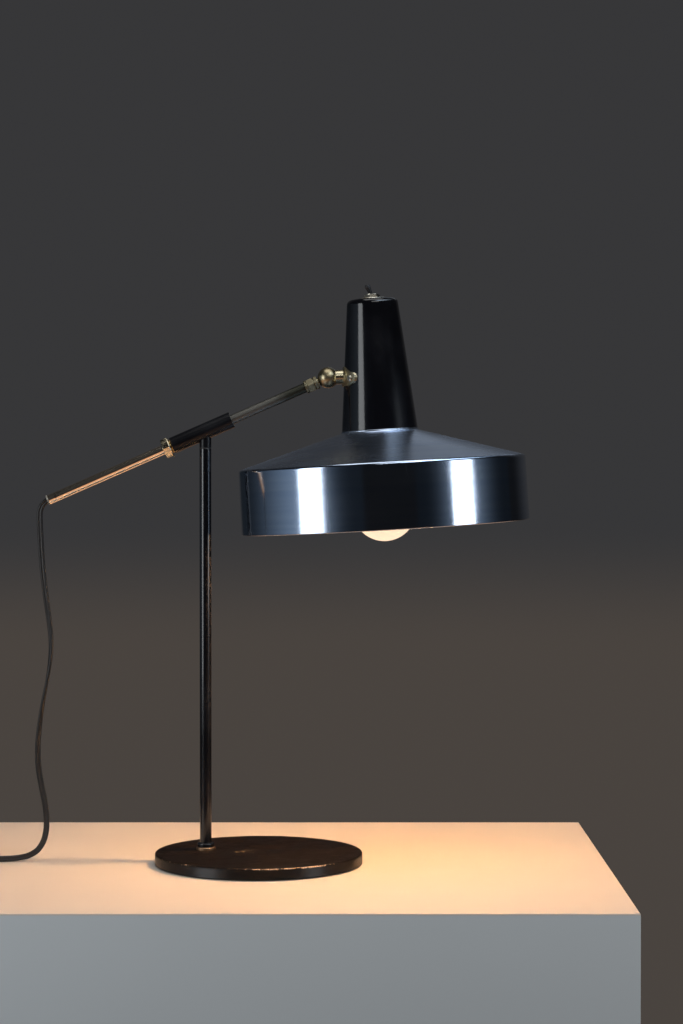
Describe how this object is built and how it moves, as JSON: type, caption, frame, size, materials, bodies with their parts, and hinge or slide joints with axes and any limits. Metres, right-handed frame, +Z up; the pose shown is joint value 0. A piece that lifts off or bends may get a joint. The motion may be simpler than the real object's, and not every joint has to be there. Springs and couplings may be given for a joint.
{
  "type": "desk lamp",
  "caption": "Desk lamp: weighted round base, slim stem, arm sliding through a swivelling sleeve, and a spun shade under a tapered housing on a tilting ball knuckle.",
  "frame": {"origin": "middle of the base's underside", "axes": "+Z up, +X along the arm towards the shade, +Y away from the viewer"},
  "size_m": [0.6507, 0.2932, 0.5879],
  "materials": {
    "base_paint": "textured black paint with worn edges",
    "felt": "pressed wool felt",
    "gloss_black": "gloss black enamel",
    "worn_brass": "tarnished and worn",
    "brass": "polished",
    "nickel": "worn nickel plate on brass",
    "arm_plate": "dulled nickel plate on steel",
    "steel": "plain",
    "fibre": "pressed fibre",
    "nylon": "plain",
    "spun_aluminium": "polished spun sheet",
    "bakelite": "moulded",
    "ceramic": "glazed ceramic",
    "opal_glass": "opal white inside",
    "cord_black": "glossy sheath",
    "tie_black": "matte",
    "wire_red": "insulated wire"
  },
  "bodies": {
    "base": {"base_disc": "base_paint", "base_felt": "felt", "foot_washer": "worn_brass", "foot_collar": "gloss_black", "stem_tube": "gloss_black", "stem_plug": "steel", "stem_bolt": "steel", "bolt_washer": "steel", "thrust_washer": "nylon", "swivel_grub": "steel"},
    "sleeve": {"pivot_sleeve": "gloss_black", "guide_bush": "nylon", "collet_insert": "brass", "cord_drop": "cord_black", "cord_coil": "cord_black", "cord_tail": "cord_black", "coil_tie": "tie_black", "plug_body": "bakelite", "plug_pins": "nickel"},
    "clamp_nut": {"clamp_nut": "nickel"},
    "arm": {"arm_tube": "arm_plate", "end_bush": "nylon", "cord_grip_screw": "steel", "inner_flex": "cord_black", "arm_ferrule": "nickel", "ferrule_grub": "steel"},
    "knuckle": {"ball_rear": "brass", "friction_washer": "fibre", "pivot_screw": "nickel"},
    "head": {"ball_front": "brass", "saddle_bracket": "worn_brass", "saddle_screws": "worn_brass", "neck_washer": "steel", "neck_nut": "steel", "cone_housing": "gloss_black", "inner_bracket": "steel", "holder_nipple": "brass", "nipple_nuts": "steel", "holder_cap": "bakelite", "holder_body": "bakelite", "holder_insert": "ceramic", "screw_shell": "brass", "centre_contact": "brass", "shade_ring": "bakelite", "shade": "spun_aluminium", "bulb_cap": "nickel", "bulb_glass": "opal_glass", "switch_body": "bakelite", "switch_bushing": "nickel", "switch_plate": "nickel", "switch_nut": "nickel", "head_wires": "wire_red"},
    "lever": {"switch_lever": "gloss_black"}
  },
  "joints": [
    {"name": "swing", "type": "hinge", "parent": "base", "child": "sleeve", "pos_m": [-0.0545, 0.014, 0.421], "axis": [0, 0, 1], "range_deg": [-170, 170]},
    {"name": "clamp_turn", "type": "hinge", "parent": "sleeve", "child": "clamp_nut", "pos_m": [-0.0934, 0.014, 0.42151], "axis": [0.9164, 0, 0.4003], "range_deg": [0, 90]},
    {"name": "arm_slide", "type": "slide", "parent": "sleeve", "child": "arm", "axis": [0.9164, 0, 0.4003], "range_m": [-0.01, 0.11], "deforming": ["cord_drop"]},
    {"name": "head_roll", "type": "hinge", "parent": "arm", "child": "knuckle", "pos_m": [0.05271, 0.014, 0.48534], "axis": [0.9164, 0, 0.4003], "range_deg": [-90, 90]},
    {"name": "head_tilt", "type": "hinge", "parent": "knuckle", "child": "head", "pos_m": [0.07031, 0.014, 0.49303], "axis": [0, -1, 0], "range_deg": [-6, 75]},
    {"name": "switch_throw", "type": "hinge", "parent": "head", "child": "lever", "pos_m": [0.11501, 0.014, 0.57548], "axis": [0, 1, 0], "range_deg": [0, 42]}
  ]
}
